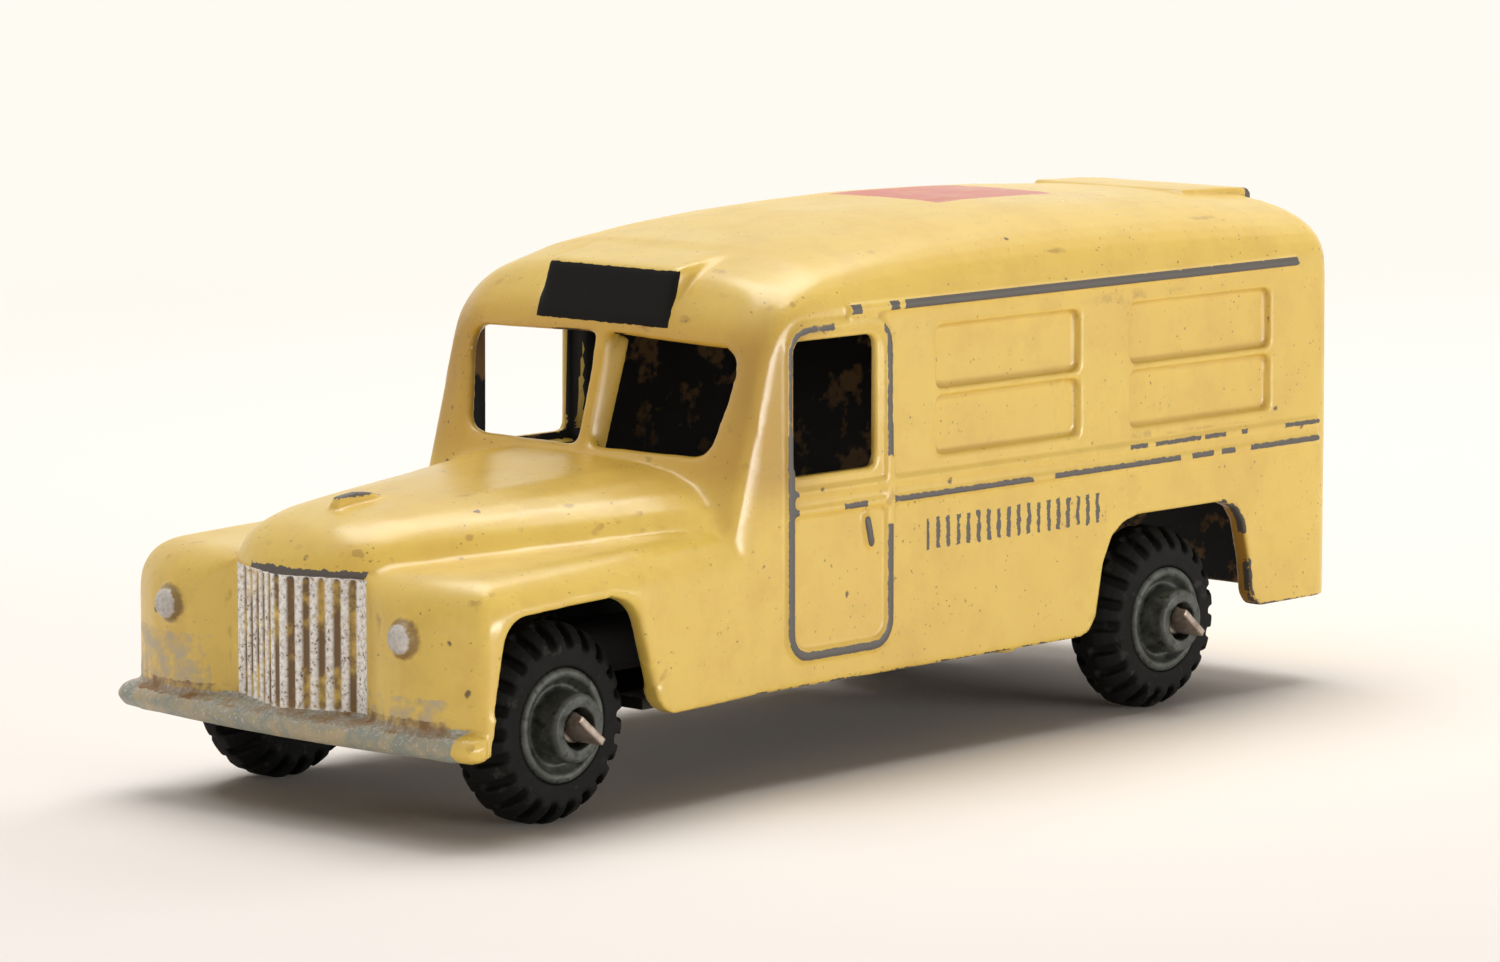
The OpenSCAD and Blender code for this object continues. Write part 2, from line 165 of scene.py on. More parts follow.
class AmbulanceSizes(bpy.types.PropertyGroup):
    """Sizes that shape the visible pieces."""

    enamel_soft: bpy.props.FloatProperty(
        name="Enamel softness", description="Grain at which the enamel rounds the casting's edges",
        default=0.00022, min=0.0001, max=0.001, precision=5, unit="LENGTH")
    wheel_soft: bpy.props.FloatProperty(
        name="Wheel softness", description="Grain at which moulding rounds the edges of tyres and hubs",
        default=0.00013, min=0.0001, max=0.0006, precision=5, unit="LENGTH")
    axle_soft: bpy.props.FloatProperty(
        name="Axle softness", description="Grain at which flattening rounds the edges of the axle wires",
        default=0.00011, min=0.0001, max=0.0006, precision=5, unit="LENGTH")
    casting_faces: bpy.props.IntProperty(
        name="Casting triangles", description="Triangles kept in the enamelled casting",
        default=190000, min=20000, max=199000)
    floor_size: bpy.props.FloatProperty(
        name="Floor", description="Width of the studio floor", default=6.0, min=1.0, unit="LENGTH")


class AmbulanceColours(bpy.types.PropertyGroup):
    """Colours of the finishes, written as sRGB hex values."""

    enamel: tint("Enamel", "Cream yellow enamel", "#DDBD58")
    # thin enamel in drifts, also laid as painted shade on the front-facing windscreen surround
    enamel_thin_and_shade: tint("Thin enamel", "Enamel where it is thin", "#C79C36")
    # also laid as the painted shadow under the bonnet's lip
    zinc: tint("Zinc", "Bare tarnished zinc", "#4B4540")
    # also the painted highlight and specks along the bumper's crest
    silver: tint("Silver", "Silver paint on the grille", "#C4BCB5")
    grime: tint("Grime", "Old brown dirt", "#6A4F2C")
    sign: tint("Sign", "Black of the sign face", "#0D0C0B")
    roof_red: tint("Roof panel", "Faded red panel", "#B9483C")
    # black on the faces that look into the hollow
    inside: tint("Inside", "Black coat inside the shell", "#0D0B09")
    rubber: tint("Rubber", "Black tyre rubber", "#0A0A09")
    hub: tint("Hub", "Grey-green hub metal", "#343732")
    steel: tint("Steel", "Axle wire", "#A3968B")
    plate: tint("Base plate", "Black base plate", "#15130F")
    backdrop: tint("Backdrop", "Warm white paper", "#FEFBF3")
    # painted shade on the front-facing windscreen pillars
    pillar_shade: tint("Pillar shade", "Darker enamel on the windscreen pillars", "#A67F2C")
    mottle: tint("Mottle", "Soft stains in the enamel", "#BE9440")
    edge_dirt: tint("Edge dirt", "Dirt rubbed into raised edges", "#96702F")
    # dirt and painted shade in the concave creases
    crease_dirt_and_shade: tint("Crease dirt", "Dirt in the creases", "#A67C2A")
    arch_dirt: tint("Arch dirt", "Rusty dirt on the rear arch lip", "#A8742A")
    shelf_dirt: tint("Shelf dirt", "Dirt behind the bumper", "#7B5A2E")
    bumper_grey: tint("Bumper", "Dull grey bumper paint", "#868C82")
    bumper_soiled: tint("Soiled bumper", "Bumper paint gone yellow", "#B0A080")
    rib_dull: tint("Dull rib", "Silver paint where it is rubbed", "#B8B0A7")
    rib_bright: tint("Bright rib", "Silver paint where it is whole", "#F3F0EC")
    # brown clouds in the black of the hollow
    inside_brown: tint("Inside clouds", "Brown showing through the black coat", "#8F6B40")
    rubber_scuff: tint("Rubber scuff", "Grey dust on the rubber", "#3D3A36")
    hub_chalk: tint("Hub chalk", "Chalky patches on the hubs", "#565A53")
    hub_soil: tint("Hub soil", "Dirt in the hub's dish", "#191916")
    steel_stain: tint("Steel stain", "Brown stain on the axle wire", "#5B4636")
    plate_rub: tint("Rubbed plate", "Base plate where it is rubbed", "#4A4038")
    paper: tint("Paper floor", "Pale paper under the toy", "#F2EDE8")
    room_light: tint("Room light", "Warm light from all round", "#FFDFBE")


def add(tree, kind, inputs=None, **settings):
    """A node with its settings, its input values and its links."""
    node = tree.nodes.new("ShaderNode" + kind)
    for name, value in settings.items():
        setattr(node, name, value)
    for key, value in (inputs or {}).items():
        if isinstance(value, bpy.types.NodeSocket):
            tree.links.new(value, node.inputs[key])
        else:
            node.inputs[key].default_value = value
    return node


def new_material(name):
    """An empty material, its Principled shader and its tree."""
    material = bpy.data.materials.new(name)
    material.use_nodes = True
    tree = material.node_tree
    return material, tree, tree.nodes["Principled BSDF"]


def millimetres(tree):
    """Object coordinates in millimetres."""
    place = add(tree, "TexCoord").outputs["Object"]
    return add(tree, "VectorMath", {0: place, "Scale": 1000.0}, operation="SCALE").outputs[0]


def fold(tree, operation, values):
    """Several masks joined one after another by one operation."""
    total = values[0]
    for value in values[1:]:
        total = add(tree, "Math", {0: total, 1: value}, operation=operation, use_clamp=True).outputs[0]
    return total


def area(tree, axes, limits):
    """1 inside the box whose limits in mm are given for each axis, and 0 outside."""
    sides = []
    for axis, (low, high) in zip(axes, limits):
        middle, reach = (low + high) / 2, (high - low) / 2
        sides.append(add(tree, "Math", {0: axis, 1: middle, 2: reach}, operation="COMPARE").outputs[0])
    return fold(tree, "MULTIPLY", sides)


def painted(tree, base, *coats):
    """A base colour with coats laid on it in order, each a mask and its colour."""
    for mask, colour in coats:
        base = add(tree, "Mix", {0: mask, 6: base, 7: colour}, data_type="RGBA").outputs[2]
    return base


def worn_enamel(colours):
    """Stoved gloss enamel on cast zinc: thick and soft at the edges, rubbed to grey metal on raised lines.

    Coordinates are in mm, so a noise of scale 1.7 has a grain of about 0.6 mm, and one of 0.09 about 11 mm.
    """
    material, tree, shader = new_material("stoved_enamel_on_zinc")
    mm = millimetres(tree)
    jitter = add(tree, "TexNoise", {"Vector": mm, "Scale": 1.7, "Detail": 5.0, "Roughness": 0.68})
    centred = {0: jitter.outputs["Color"], 1: (0.5, 0.5, 0.5)}
    centred = add(tree, "VectorMath", centred, operation="SUBTRACT").outputs[0]
    shift = add(tree, "VectorMath", {0: centred, "Scale": 0.75}, operation="SCALE").outputs[0]
    ragged = add(tree, "VectorMath", {0: mm, 1: shift}, operation="ADD").outputs[0]
    true_x, true_y, true_z = add(tree, "SeparateXYZ", {0: mm}).outputs
    x, y, z = add(tree, "SeparateXYZ", {0: ragged}).outputs
    side = add(tree, "Math", {0: true_y}, operation="ABSOLUTE").outputs[0]
    wide = add(tree, "Math", {0: y}, operation="ABSOLUTE").outputs[0]
    grain = jitter.outputs["Fac"]

    # raised lines: how far a point stands proud of the side, which leans in above the belt
    lean = {0: true_z, 1: BELT_Z, 2: BELT_Z + 12, 3: -SIDE_Y, 4: 0.1 - SIDE_Y}
    lean = add(tree, "MapRange", lean).outputs[0]
    proud = add(tree, "Math", {0: side, 1: lean}, operation="ADD").outputs[0]
    uneven = add(tree, "Math", {0: grain, 1: 0.16, 2: proud}, operation="MULTIPLY_ADD").outputs[0]
    raised = add(tree, "MapRange", {0: uneven, 1: 0.29, 2: 0.325}).outputs[0]
    doors = fold(tree, "MAXIMUM", [area(tree, (x, z), limits) for limits in DOOR_WORN])
    lower = area(tree, (x, true_z), (LOWER_RIB_RUN, LOWER_RIB))
    gaps = fold(tree, "MAXIMUM", [area(tree, (x, z), (gap, RIB_BAND)) for gap in LOWER_RIB_GAPS])
    lower = add(tree, "Math", {0: lower, 1: gaps}, operation="SUBTRACT", use_clamp=True).outputs[0]
    upper = fold(tree, "MAXIMUM", [area(tree, (x, true_z), (run, UPPER_RIB)) for run in UPPER_RIB_WORN])
    lines = fold(tree, "MAXIMUM", [doors, lower, upper])
    lines = fold(tree, "MULTIPLY", [lines, raised])
    gutter = [area(tree, (x, true_z, wide), (run, GUTTER_Z, GUTTER_EDGE)) for run in GUTTER_WORN]
    gutter = fold(tree, "MAXIMUM", gutter)
    grip_edge = add(tree, "Math", {0: proud, 1: 0.22}, operation="GREATER_THAN").outputs[0]
    grip = fold(tree, "MULTIPLY", [area(tree, (x, z), HANDLE), grip_edge])

    # chips along the rear wheel arch and the sill, and dirt on the arch's lip
    rim = add(tree, "Math", {0: uneven, 1: -0.32, 2: 0.35}, operation="COMPARE").outputs[0]
    edge_noise = {"Vector": mm, "Scale": 0.55, "Detail": 4.0, "Roughness": 0.6}
    edge_noise = add(tree, "TexNoise", edge_noise).outputs["Fac"]
    some = add(tree, "Math", {0: edge_noise, 1: 0.47}, operation="GREATER_THAN").outputs[0]
    chipped = [area(tree, (x, z), limits) for limits in (ARCH_WORN, ARCH_FOOT_WORN, SILL_WORN)]
    chipped = fold(tree, "MULTIPLY", [fold(tree, "MAXIMUM", chipped), some, rim])
    turned = add(tree, "MapRange", {0: uneven, 1: 0.0, 2: -0.25, 4: 0.8}).outputs[0]
    arch_dirt = fold(tree, "MULTIPLY", [area(tree, (x, z), ARCH_DIRTY), turned])
    bonnet_rub = area(tree, (x, wide, z), ORNAMENT_WORN)
    roof_box = area(tree, (x, y, z), ROOF_BOX_END)

    # a plain row of worn upright ticks low on each side
    step = add(tree, "Math", {0: x, 1: TICK_PITCH}, operation="FLOORED_MODULO").outputs[0]
    tick = add(tree, "Math", {0: step, 1: 0.5, 2: 0.2}, operation="COMPARE").outputs[0]
    ticks = fold(tree, "MULTIPLY", [area(tree, (true_x, z, wide), TICK_ROW), tick])
    worn = fold(tree, "MAXIMUM", [lines, gutter, grip, chipped, bonnet_rub, roof_box, ticks])

    # grille: silver paint on the rib tops, rubbed and grainy, yellow and brown left between; above it a
    # painted shadow under the bonnet's lip, laid as dark bare metal with some wear
    fall = add(tree, "Math", {0: side, 1: GRILLE_RAKE, 2: true_x}, operation="MULTIPLY_ADD").outputs[0]
    rib_top = add(tree, "MapRange", {0: fall, 1: RIB_TOP[0], 2: RIB_TOP[1]}).outputs[0]
    grille = area(tree, (true_x, true_y, true_z), GRILLE)
    speck = {"Vector": mm, "Scale": 3.2, "Detail": 3.0, "Roughness": 0.7}
    speck = add(tree, "TexNoise", speck).outputs["Fac"]
    rubbed = add(tree, "MapRange", {0: speck, 1: 0.34, 2: 0.42}).outputs[0]
    silver_ribs = fold(tree, "MULTIPLY", [grille, rib_top, rubbed])
    lip = area(tree, (x, y, z), GRILLE_LIP_SHADOW)

    # lamps: rubbed domes in a ring of dirt
    lamp_y = add(tree, "Math", {0: side, 1: LAMP_Y}, operation="SUBTRACT").outputs[0]
    lamp_z = add(tree, "Math", {0: true_z, 1: LAMP_Z}, operation="SUBTRACT").outputs[0]
    flat = add(tree, "CombineXYZ", {0: 0.0, 1: lamp_y, 2: lamp_z}).outputs[0]
    reach = add(tree, "VectorMath", {0: flat}, operation="LENGTH").outputs["Value"]
    ahead = add(tree, "Math", {0: true_x, 1: 45.2}, operation="GREATER_THAN").outputs[0]
    lamp_edge = add(tree, "Math", {0: grain, 1: 0.5, 2: reach}, operation="MULTIPLY_ADD").outputs[0]
    lamp = add(tree, "MapRange", {0: lamp_edge, 1: 1.3, 2: 1.15}).outputs[0]
    lamp = fold(tree, "MULTIPLY", [lamp, ahead])
    ring = add(tree, "MapRange", {0: lamp_edge, 1: 1.72, 2: 1.5, 4: 0.8}).outputs[0]
    ring = fold(tree, "MULTIPLY", [ring, ahead])

    # bumper: dull silver over the yellow, silver specks with a painted highlight along its top crest, dirt
    # in the shelf behind it
    rub = add(tree, "MapRange", {0: speck, 1: 0.3, 2: 0.36}).outputs[0]
    bumper = fold(tree, "MULTIPLY", [area(tree, (x, y, z), BUMPER), rub])
    patch = {"Vector": mm, "Scale": 0.42, "Detail": 5.0, "Roughness": 0.62}
    patch = add(tree, "TexNoise", patch).outputs["Fac"]
    soiled = add(tree, "MapRange", {0: patch, 1: 0.42, 2: 0.62}).outputs[0]
    shelf = fold(tree, "MULTIPLY", [area(tree, (x, wide, z), BUMPER_SHELF), soiled])
    fleck = add(tree, "MapRange", {0: speck, 1: 0.6, 2: 0.68}).outputs[0]
    crest_highlight_and_specks = add(tree, "MapRange", {0: true_z, 1: BUMPER_CREST_HIGHLIGHT[0], 2: BUMPER_CREST_HIGHLIGHT[1]}).outputs[0]
    crest_speckle = add(tree, "MapRange", {0: speck, 1: 0.46, 2: 0.56, 4: 0.7}).outputs[0]
    crest_highlight_and_specks = fold(tree, "MULTIPLY", [crest_highlight_and_specks, crest_speckle])

    # scuffed paint low on both wings
    scuff = add(tree, "MapRange", {0: patch, 1: 0.45, 2: 0.62, 4: 0.8}).outputs[0]
    wings = [area(tree, (x, y, z), limits) for limits in (LEFT_WING_SCUFFED, RIGHT_WING_SCUFFED)]
    wings = fold(tree, "MULTIPLY", [fold(tree, "MAXIMUM", wings), scuff])

    # sign face and the plain roof panel
    face = add(tree, "Math", {0: true_z, 1: SIGN_LEAN, 2: true_x}, operation="MULTIPLY_ADD").outputs[0]
    front_face = add(tree, "Math", {0: face, 1: SIGN_FACE}, operation="GREATER_THAN").outputs[0]
    calm = add(tree, "VectorMath", {0: centred, "Scale": 0.3}, operation="SCALE").outputs[0]
    calm = add(tree, "VectorMath", {0: mm, 1: calm}, operation="ADD").outputs[0]
    calm_y, calm_z = add(tree, "SeparateXYZ", {0: calm}).outputs[1:]
    sign = fold(tree, "MULTIPLY", [area(tree, (calm_y, calm_z), SIGN), front_face])
    high = add(tree, "Math", {0: true_z, 1: ROOF_PANEL_Z}, operation="GREATER_THAN").outputs[0]
    faded = add(tree, "MapRange", {0: patch, 1: 0.2, 2: 0.5, 3: 0.55, 4: 0.95}).outputs[0]
    roof = fold(tree, "MULTIPLY", [area(tree, (x, y), ROOF_PANEL), high, faded])

    # stains, dirt and painted shade: thin enamel, painted shade on the front-facing windscreen surround and
    # pillars, pits, mottling, dirt on edges, and dirt with painted shade in the creases
    broad = add(tree, "TexNoise", {"Vector": mm, "Scale": 0.09, "Detail": 3.0}).outputs["Fac"]
    drift = add(tree, "MapRange", {0: broad, 1: 0.4, 2: 0.75, 4: 0.3}).outputs[0]
    ahead_of = add(tree, "MapRange", {0: x, 1: 10.5, 2: 14.5}).outputs[0]
    below = add(tree, "MapRange", {0: z, 1: 34.0, 2: 30.5}).outputs[0]
    above = add(tree, "MapRange", {0: z, 1: 20.3, 2: 22.3, 4: 0.6}).outputs[0]
    within = add(tree, "MapRange", {0: wide, 1: 15.3, 2: 14.7}).outputs[0]
    # painted shade on the front-facing windscreen surround, in the thin-enamel colour
    brow_painted_shade = fold(tree, "MULTIPLY", [ahead_of, below, above, within])
    corner = add(tree, "MapRange", {0: true_x, 1: 9.0, 2: 12.5}).outputs[0]
    outward = add(tree, "MapRange", {0: side, 1: 11.5, 2: 14.2, 4: 0.7}).outputs[0]
    scuttle = add(tree, "MapRange", {0: true_z, 1: 18.5, 2: 21.5}).outputs[0]
    ahead_end = add(tree, "MapRange", {0: true_x, 1: 20.0, 2: 17.0}).outputs[0]
    # painted shade down the front-facing windscreen pillars
    pillar_painted_shade = fold(tree, "MULTIPLY", [corner, outward, scuttle, below, ahead_end])
    pits = add(tree, "TexVoronoi", {"Vector": ragged, "Scale": 0.45, "Randomness": 1.0})
    dot = add(tree, "MapRange", {0: pits.outputs["Distance"], 1: 0.13, 2: 0.07}).outputs[0]
    rare = add(tree, "Math", {0: edge_noise, 1: 0.59}, operation="GREATER_THAN").outputs[0]
    dots = fold(tree, "MULTIPLY", [dot, rare])
    fine = add(tree, "TexVoronoi", {"Vector": ragged, "Scale": 1.5, "Randomness": 1.0}).outputs["Distance"]
    fine = add(tree, "MapRange", {0: fine, 1: 0.17, 2: 0.09, 4: 0.75}).outputs[0]
    cluster = add(tree, "MapRange", {0: patch, 1: 0.46, 2: 0.6}).outputs[0]
    specks = fold(tree, "MAXIMUM", [dots, fold(tree, "MULTIPLY", [fine, cluster])])
    mottle = {"Vector": mm, "Scale": 0.28, "Detail": 7.0, "Roughness": 0.7}
    mottle = add(tree, "TexNoise", mottle).outputs["Fac"]
    mottle = add(tree, "MapRange", {0: mottle, 1: 0.45, 2: 0.75, 4: 0.4}).outputs[0]
    bend = add(tree, "NewGeometry").outputs["Pointiness"]
    edge = add(tree, "MapRange", {0: bend, 1: 0.545, 2: 0.59, 4: 0.55}).outputs[0]
    edge = fold(tree, "MULTIPLY", [edge, cluster])
    # dirt and painted shade darken the concave creases
    crease_dirt_and_shade_mask = add(tree, "MapRange", {0: bend, 1: 0.485, 2: 0.45, 4: 0.55}).outputs[0]
    spared = add(tree, "MapRange", {0: patch, 1: 0.36, 2: 0.52}).outputs[0]
    between = fold(tree, "MULTIPLY", [grille, spared])
    sparkle = add(tree, "MapRange", {0: speck, 1: 0.3, 2: 0.6}).outputs[0]
    shiny = fold(tree, "MAXIMUM", [silver_ribs, lamp])

    # colours, from the enamel up
    metal = painted(tree, colours.zinc, (patch, colours.silver))
    bright = painted(tree, colours.rib_dull, (sparkle, colours.rib_bright))
    bumper_paint = painted(
        tree, colours.bumper_grey,
        (soiled, colours.bumper_soiled),
        (fleck, colours.silver),
        # painted highlight and silver specks along the bumper's top
        (crest_highlight_and_specks, colours.silver))
    colour = painted(
        tree, colours.enamel,
        (drift, colours.enamel_thin_and_shade),
        # painted shade on the windscreen surround
        (brow_painted_shade, colours.enamel_thin_and_shade),
        # painted shade on the windscreen pillars
        (pillar_painted_shade, colours.pillar_shade),
        (mottle, colours.mottle),
        (edge, colours.edge_dirt),
        # dirt and painted shade in the creases
        (crease_dirt_and_shade_mask, colours.crease_dirt_and_shade),
        (arch_dirt, colours.arch_dirt),
        (specks, colours.grime),
        (fold(tree, "MAXIMUM", [between, ring]), colours.grime),
        (wings, metal),
        (bumper, bumper_paint),
        (shelf, colours.shelf_dirt),
        # bare metal where worn, and the painted shadow under the bonnet's lip
        (fold(tree, "MAXIMUM", [worn, lip]), colours.zinc),
        (shiny, bright),
        (fold(tree, "MULTIPLY", [lamp, 0.6]), metal),
        (sign, colours.sign),
        (roof, colours.roof_red))
    tree.links.new(colour, shader.inputs["Base Color"])

    # gloss where the enamel is whole, dull where it has gone
    dull = fold(tree, "MAXIMUM", [worn, wings, bumper, between, shelf, sign, lip, shiny])
    gloss = add(tree, "MapRange", {0: broad, 1: 0.3, 2: 0.7, 3: 0.24, 4: 0.38}).outputs[0]
    rough = add(tree, "Mix", {0: dull, 2: gloss, 3: 0.55}).outputs[0]
    tree.links.new(rough, shader.inputs["Roughness"])
    bare = fold(tree, "MULTIPLY", [shiny, 0.2])
    tree.links.new(bare, shader.inputs["Metallic"])
    peel = add(tree, "TexNoise", {"Vector": mm, "Scale": 0.6, "Detail": 3.0}).outputs["Fac"]
    loss = fold(tree, "MAXIMUM", [worn, wings, dots])
    height = add(tree, "Math", {0: loss, 1: -0.35, 2: peel}, operation="MULTIPLY_ADD").outputs[0]
    bump = add(tree, "Bump", {"Strength": 0.35, "Distance": 0.00008, "Height": height}).outputs[0]
    tree.links.new(bump, shader.inputs["Normal"])
    sheen = add(tree, "MapRange", {0: sign, 3: 0.65, 4: 0.12}).outputs[0]
    tree.links.new(sheen, shader.inputs["Specular IOR Level"])
    return material


def hollow_black(colours):
    """Black on the faces that look into the shell's hollow, with clouds of brown in it."""
    material, tree, shader = new_material("black_in_the_hollow")
    mm = millimetres(tree)
    cloud = {"Vector": mm, "Scale": 0.32, "Detail": 4.0, "Roughness": 0.6}
    cloud = add(tree, "TexNoise", cloud).outputs["Fac"]
    thin = add(tree, "MapRange", {0: cloud, 1: 0.54, 2: 0.6, 4: 0.9}).outputs[0]
    colour = painted(tree, colours.inside, (thin, colours.inside_brown))
    tree.links.new(colour, shader.inputs["Base Color"])
    shader.inputs["Roughness"].default_value = 0.6
    return material


def moulded_rubber(colours):
    """Moulded black rubber: matt, a little dusty, scuffed grey on the tread blocks."""
    material, tree, shader = new_material("moulded_rubber")
    mm = millimetres(tree)
    dust = {"Vector": mm, "Scale": 0.7, "Detail": 5.0, "Roughness": 0.65}
    dust = add(tree, "TexNoise", dust).outputs["Fac"]
    grey = add(tree, "MapRange", {0: dust, 1: 0.6, 2: 0.7, 4: 0.6}).outputs[0]
    colour = painted(tree, colours.rubber, (grey, colours.rubber_scuff))
    tree.links.new(colour, shader.inputs["Base Color"])
    fine = add(tree, "TexNoise", {"Vector": mm, "Scale": 4.0, "Detail": 2.0}).outputs["Fac"]
    rough = add(tree, "MapRange", {0: dust, 3: 0.62, 4: 0.85}).outputs[0]
    tree.links.new(rough, shader.inputs["Roughness"])
    shader.inputs["Specular IOR Level"].default_value = 0.18
    bump = add(tree, "Bump", {"Strength": 0.3, "Distance": 0.00005, "Height": fine}).outputs[0]
    tree.links.new(bump, shader.inputs["Normal"])
    return material


def cast_hub_metal(colours):
    """Cast grey-green hub metal: satin, chalky in patches, dark dirt in the dish."""
    material, tree, shader = new_material("cast_hub_metal")
    mm = millimetres(tree)
    cloud = {"Vector": mm, "Scale": 0.9, "Detail": 5.0, "Roughness": 0.62}
    cloud = add(tree, "TexNoise", cloud).outputs["Fac"]
    chalk = add(tree, "MapRange", {0: cloud, 1: 0.42, 2: 0.7}).outputs[0]
    soil = add(tree, "TexNoise", {"Vector": mm, "Scale": 1.6, "Detail": 3.0}).outputs["Fac"]
    soil = add(tree, "MapRange", {0: soil, 1: 0.56, 2: 0.64, 4: 0.8}).outputs[0]
    colour = painted(tree, colours.hub, (chalk, colours.hub_chalk), (soil, colours.hub_soil))
    tree.links.new(colour, shader.inputs["Base Color"])
    rough = add(tree, "MapRange", {0: cloud, 3: 0.42, 4: 0.62}).outputs[0]
    tree.links.new(rough, shader.inputs["Roughness"])
    bump = add(tree, "Bump", {"Strength": 0.4, "Distance": 0.00006, "Height": cloud}).outputs[0]
    tree.links.new(bump, shader.inputs["Normal"])
    shader.inputs["Metallic"].default_value = 0.25
    return material


def drawn_steel(colours):
    """Drawn steel wire, flattened at the ends: dull, with brown staining."""
    material, tree, shader = new_material("drawn_steel_wire")
    mm = millimetres(tree)
    stain = {"Vector": mm, "Scale": 1.3, "Detail": 4.0, "Roughness": 0.6}
    stain = add(tree, "TexNoise", stain).outputs["Fac"]
    brown = add(tree, "MapRange", {0: stain, 1: 0.45, 2: 0.7, 4: 0.7}).outputs[0]
    colour = painted(tree, colours.steel, (brown, colours.steel_stain))
    tree.links.new(colour, shader.inputs["Base Color"])
    rough = add(tree, "MapRange", {0: stain, 3: 0.3, 4: 0.55}).outputs[0]
    tree.links.new(rough, shader.inputs["Roughness"])
    shader.inputs["Metallic"].default_value = 0.85
    return material


def plate_enamel(colours):
    """Black enamel on the pressed base plate, rubbed brown in patches."""
    material, tree, shader = new_material("black_plate_enamel")
    mm = millimetres(tree)
    rub = {"Vector": mm, "Scale": 0.35, "Detail": 5.0, "Roughness": 0.65}
    rub = add(tree, "TexNoise", rub).outputs["Fac"]
    bare = add(tree, "MapRange", {0: rub, 1: 0.6, 2: 0.68, 4: 0.6}).outputs[0]
    colour = painted(tree, colours.plate, (bare, colours.plate_rub))
    tree.links.new(colour, shader.inputs["Base Color"])
    rough = add(tree, "MapRange", {0: rub, 3: 0.35, 4: 0.6}).outputs[0]
    tree.links.new(rough, shader.inputs["Roughness"])
    return material


def seen(tree):
    """1 for a ray that shows the picture itself or a mirror image of it, and 0 for a ray that lights."""
    path = add(tree, "LightPath").outputs
    kinds = ("Is Camera Ray", "Is Glossy Ray", "Is Transmission Ray")
    return fold(tree, "MAXIMUM", [path[kind] for kind in kinds])


def pick(obj):
    """Makes one object the only one selected, and active."""
    bpy.ops.object.select_all(action="DESELECT")
    obj.select_set(True)
    bpy.context.view_layer.objects.active = obj


def modify(obj, kind, **settings):
    """Adds one modifier with its settings and applies it."""
    modifier = obj.modifiers.new(kind.lower(), kind)
    for name, value in settings.items():
        setattr(modifier, name, value)
    bpy.ops.object.modifier_apply(modifier=modifier.name)


def copied_node(node, name):
    """A copy of a CAD node's mesh as one closed skin, as a start for a piece."""
    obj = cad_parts[node].copy()
    obj.data = obj.data.copy()
    for key in list(obj.keys()):
        del obj[key]
    obj.parent = None
    obj.name = name
    obj.data.name = name
    bpy.context.scene.collection.objects.link(obj)
    pick(obj)
    bpy.ops.object.mode_set(mode="EDIT")
    bpy.ops.mesh.select_all(action="SELECT")
    bpy.ops.mesh.remove_doubles(threshold=1e-6)
    bpy.ops.object.mode_set(mode="OBJECT")
    return obj


def choose(obj, region):
    """Selects, in edit mode, the vertices of one region given in mm."""
    bpy.ops.object.mode_set(mode="EDIT")
    bpy.ops.mesh.select_mode(type="VERT")
    bpy.ops.mesh.select_all(action="DESELECT")
    bpy.ops.object.mode_set(mode="OBJECT")
    for vertex in obj.data.vertices:
        vertex.select = region(*(vertex.co / MM))
    bpy.ops.object.mode_set(mode="EDIT")


def melt(obj, region, repeat):
    """Relaxes the vertices of one region further, as thick paint does."""
    choose(obj, region)
    bpy.ops.mesh.vertices_smooth(factor=0.5, repeat=repeat)
    bpy.ops.object.mode_set(mode="OBJECT")


def nose(x, y, z):
    """Bonnet and wings, without the lamps, grille, bumper and bonnet ornament."""
    lamp = math.hypot(abs(y) - LAMP_Y, z - LAMP_Z) < 1.7
    grille = abs(y) < 6.9 and x + GRILLE_RAKE * abs(y) > 46.5 and z < 17.2
    on_top = z > 20.4 and abs(x - 39.6) < 3 and abs(y) < 1.5
    return x > 16.8 and z > 8.6 and not (lamp or grille or on_top)


def ornament(x, y, z):
    """The low ornament on the bonnet."""
    return 37.0 < x < 42.5 and abs(y) < 1.3 and z > 21.2


def bar(x, y, z):
    """The bar between the windscreen panes, with its ends."""
    return x > 12.5 and abs(y) < 1.9 and 21.2 < z < 31.0


def bar_foot(x, y, z):
    """The lower end of the bar."""
    return bar(x, y, z) and z < 26.0


def lamps(x, y, z):
    """The two headlamps, which the silver paint rounds into domes."""
    return x > 45.3 and math.hypot(abs(y) - LAMP_Y, z - LAMP_Z) < 1.45


def brow(x, y, z):
    """Roof front, sign box and windscreen surround."""
    return 1.0 < x < 18.5 and abs(y) < 14.7 and z > 20.6


def softened(obj, grain, passes, triangles, guide=None, melted=()):
    """Remeshes a piece at the given grain, relaxes it and thins it to the triangles it may keep."""
    pick(obj)
    modify(obj, "REMESH", mode="VOXEL", voxel_size=grain, adaptivity=0.0)
    if guide is not None:
        modify(obj, "SHRINKWRAP", target=guide, wrap_method="NEAREST_SURFACEPOINT")
    modify(obj, "SMOOTH", factor=0.5, iterations=passes)
    for region, repeat in melted:
        melt(obj, region, repeat)
    count = 2 * len(obj.data.polygons)
    if count > triangles:
        modify(obj, "DECIMATE", ratio=triangles / count, use_collapse_triangulate=True)
    bpy.ops.object.shade_smooth()


